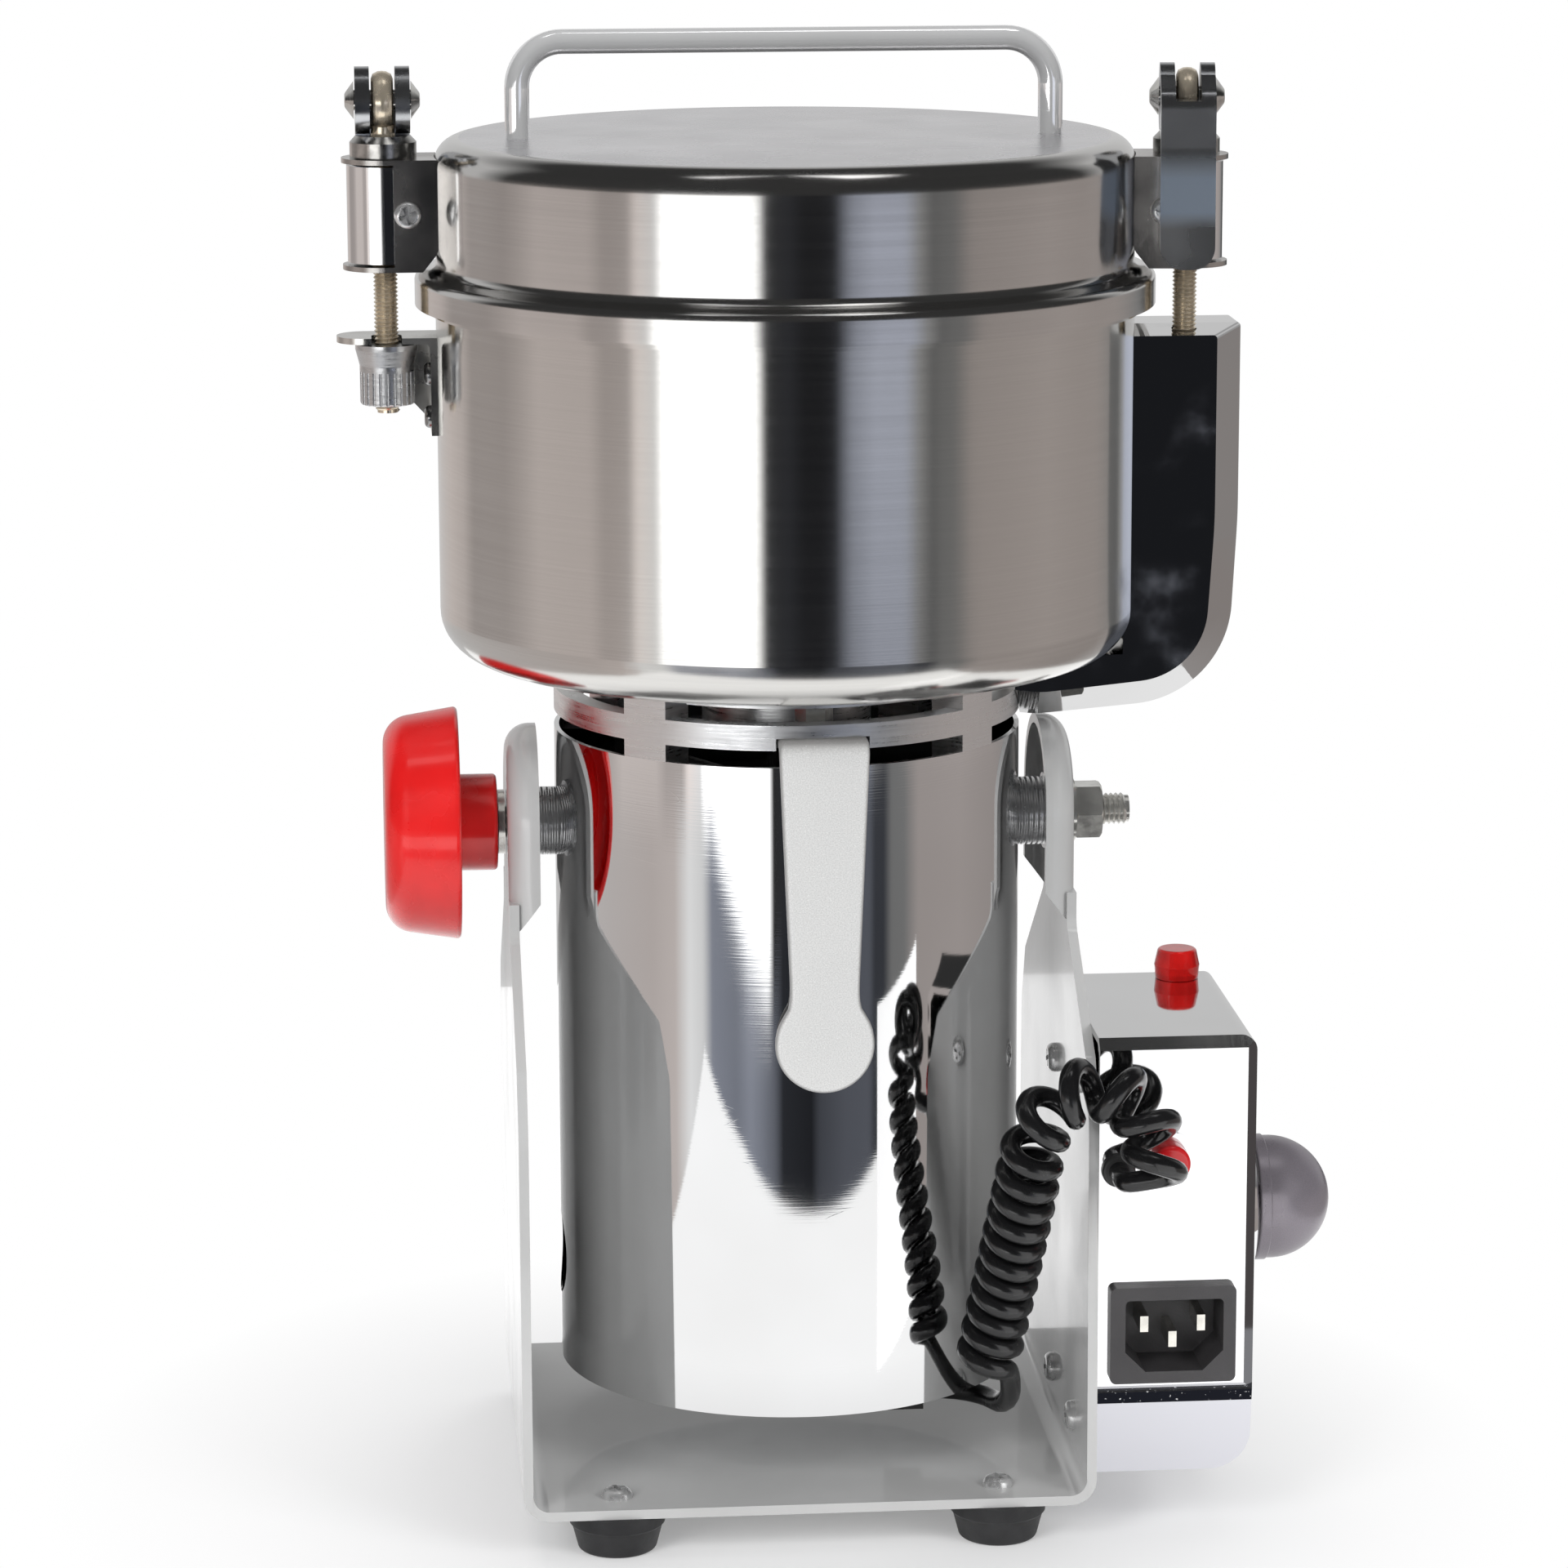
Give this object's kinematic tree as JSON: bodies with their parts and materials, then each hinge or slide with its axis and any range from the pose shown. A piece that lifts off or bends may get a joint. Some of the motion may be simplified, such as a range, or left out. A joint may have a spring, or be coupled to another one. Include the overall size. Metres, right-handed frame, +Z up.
{
  "type": "electric spice grinder",
  "caption": "Tilting electric grinder: a clamped steel drum on a motor in a sheet yoke with a control box.",
  "frame": {"origin": "on the floor, straight under the axis of the drum and motor", "axes": "+Z up along the drum's axis, +X to the right through the tilt pivot towards the control box, +Y away from the front"},
  "size_m": [0.2425, 0.1808, 0.366],
  "materials": {
    "bearing_steel": "ground",
    "blade_steel": "ground",
    "bolt_nickel": "nickel plate, warm",
    "box_chrome": "polished, lightly scratched",
    "bracket_steel": "satin",
    "breaker_plastic": "black housing",
    "cap_casting": "cast",
    "carbon": "carbon",
    "commutator_copper": "turned copper",
    "cord_black": "satin black",
    "dial_chrome": "polished",
    "drum_steel": "fine horizontal brush lines",
    "ear_steel": "satin",
    "fan_plastic": "black",
    "foot_rubber": "matt black",
    "gasket_silicone": "pale silicone",
    "gland_black": "black",
    "grip_chrome": "polished",
    "holder_brass": "brass",
    "inlet_plastic": "textured black",
    "knob_grey": "metallic grey-mauve",
    "knurl_aluminium": "knurled",
    "lamination": "stacked sheet iron",
    "lamp_glass": "clear lamp",
    "lens_red": "translucent red",
    "lever_steel": "polished, scuffed",
    "lid_steel": "satin",
    "lock_red": "gloss red",
    "pad_foam": "black pad",
    "pin_brass": "bright nickel-plated brass",
    "reset_red": "gloss red",
    "ring_aluminium": "machined",
    "rivet_steel": "dark domed",
    "rod_steel": "polished rod",
    "seal_rubber": "pale silicone",
    "shaft_steel": "ground",
    "shell_mirror": "mirror polished",
    "sleeve_chrome": "polished",
    "spacer_steel": "turned bright",
    "strap_steel": "satin silver",
    "stud_zinc": "yellow-grey zinc",
    "timer_case": "zinc and plastic case",
    "washer_nickel": "scuffed nickel",
    "winding": "varnished copper wire",
    "yoke_paint": "light grey gloss powder coat",
    "zinc_screw": "bright nickel plate"
  },
  "bodies": {
    "stand": {"yoke": "yoke_paint", "rubber_feet": "foot_rubber", "foot_screws": "zinc_screw", "control_box": "box_chrome", "box_screws": "zinc_screw", "inlet_body": "inlet_plastic", "inlet_pins": "pin_brass", "overload_breaker": "breaker_plastic", "indicator_lens": "lens_red", "indicator_lamp": "lamp_glass", "timer_body": "timer_case", "timer_bezel": "dial_chrome", "cord_gland_box": "gland_black", "curly_cord": "cord_black"},
    "reset": {"reset_button": "reset_red"},
    "timer": {"timer_knob": "knob_grey"},
    "grinder": {"pivot_studs": "stud_zinc", "pivot_spacers": "spacer_steel", "pivot_washers": "stud_zinc", "pivot_nut": "stud_zinc", "motor_shell": "shell_mirror", "motor_ring": "ring_aluminium", "bottom_cap": "cap_casting", "shaft_bearings": "bearing_steel", "stator_core": "lamination", "field_coils": "winding", "brush_holders": "holder_brass", "carbon_brushes": "carbon", "shaft_seal": "seal_rubber", "drum": "drum_steel", "drum_bolts": "zinc_screw", "drum_nuts": "stud_zinc", "front_strap": "strap_steel", "strap_pad": "pad_foam", "side_handle": "grip_chrome", "grip_screws": "zinc_screw", "slotted_ear": "ear_steel", "ear_rivets": "rivet_steel", "cord_gland_motor": "gland_black"},
    "tilt_lock": {"lock_knob": "lock_red"},
    "rotor": {"rotor_shaft": "shaft_steel", "armature": "lamination", "commutator": "commutator_copper", "cooling_fan": "fan_plastic", "blade_hub": "blade_steel", "blades": "blade_steel", "blade_nut": "blade_steel"},
    "lid": {"lid_shell": "lid_steel", "lid_gasket": "gasket_silicone", "lid_handle": "rod_steel", "lid_brackets": "bracket_steel", "bolt_sleeves": "sleeve_chrome", "bracket_screws": "zinc_screw", "eye_bolts": "bolt_nickel", "cam_pins": "bolt_nickel", "cam_washers": "washer_nickel"},
    "lever_left": {"left_lever": "lever_steel"},
    "lever_right": {"right_lever": "lever_steel"},
    "height_nut": {"knurled_nut": "knurl_aluminium"}
  },
  "joints": [
    {"name": "reset_press", "type": "slide", "parent": "stand", "child": "reset", "axis": [0, 1, 0], "range_m": [0, 0.003], "stiffness_N_per_m": 400},
    {"name": "timer_turn", "type": "hinge", "parent": "stand", "child": "timer", "pos_m": [0.113, -0.03, 0.077], "axis": [-1, 0, 0], "range_deg": [0, 300]},
    {"name": "tilt", "type": "hinge", "parent": "stand", "child": "grinder", "pos_m": [0, 0, 0.1704], "axis": [1, 0, 0], "range_deg": [-45, 70], "deforming": ["curly_cord"]},
    {"name": "lock_turn", "type": "hinge", "parent": "grinder", "child": "tilt_lock", "pos_m": [-0.08, 0, 0.1704], "axis": [1, 0, 0], "range_deg": [0, 360]},
    {"name": "rotor_spin", "type": "hinge", "parent": "grinder", "child": "rotor", "pos_m": [0, 0, 0.2], "axis": [0, 0, 1], "continuous": true},
    {"name": "lid_swing", "type": "hinge", "parent": "grinder", "child": "lid", "pos_m": [0.09675, -0.01205, 0.32], "axis": [0, 0, 1], "range_deg": [0, 110]},
    {"name": "left_cam", "type": "hinge", "parent": "lid", "child": "lever_left", "pos_m": [-0.0975, 0, 0.3494], "axis": [1, 0, 0], "range_deg": [0, 165]},
    {"name": "right_cam", "type": "hinge", "parent": "lid", "child": "lever_right", "pos_m": [0.09675, -0.01205, 0.3494], "axis": [0.9923, -0.1236, 0], "range_deg": [-165, 0]},
    {"name": "height_nut_turn", "type": "hinge", "parent": "lid", "child": "height_nut", "pos_m": [-0.0975, 0, 0.283], "axis": [0, 0, 1], "range_deg": [0, 360]}
  ]
}
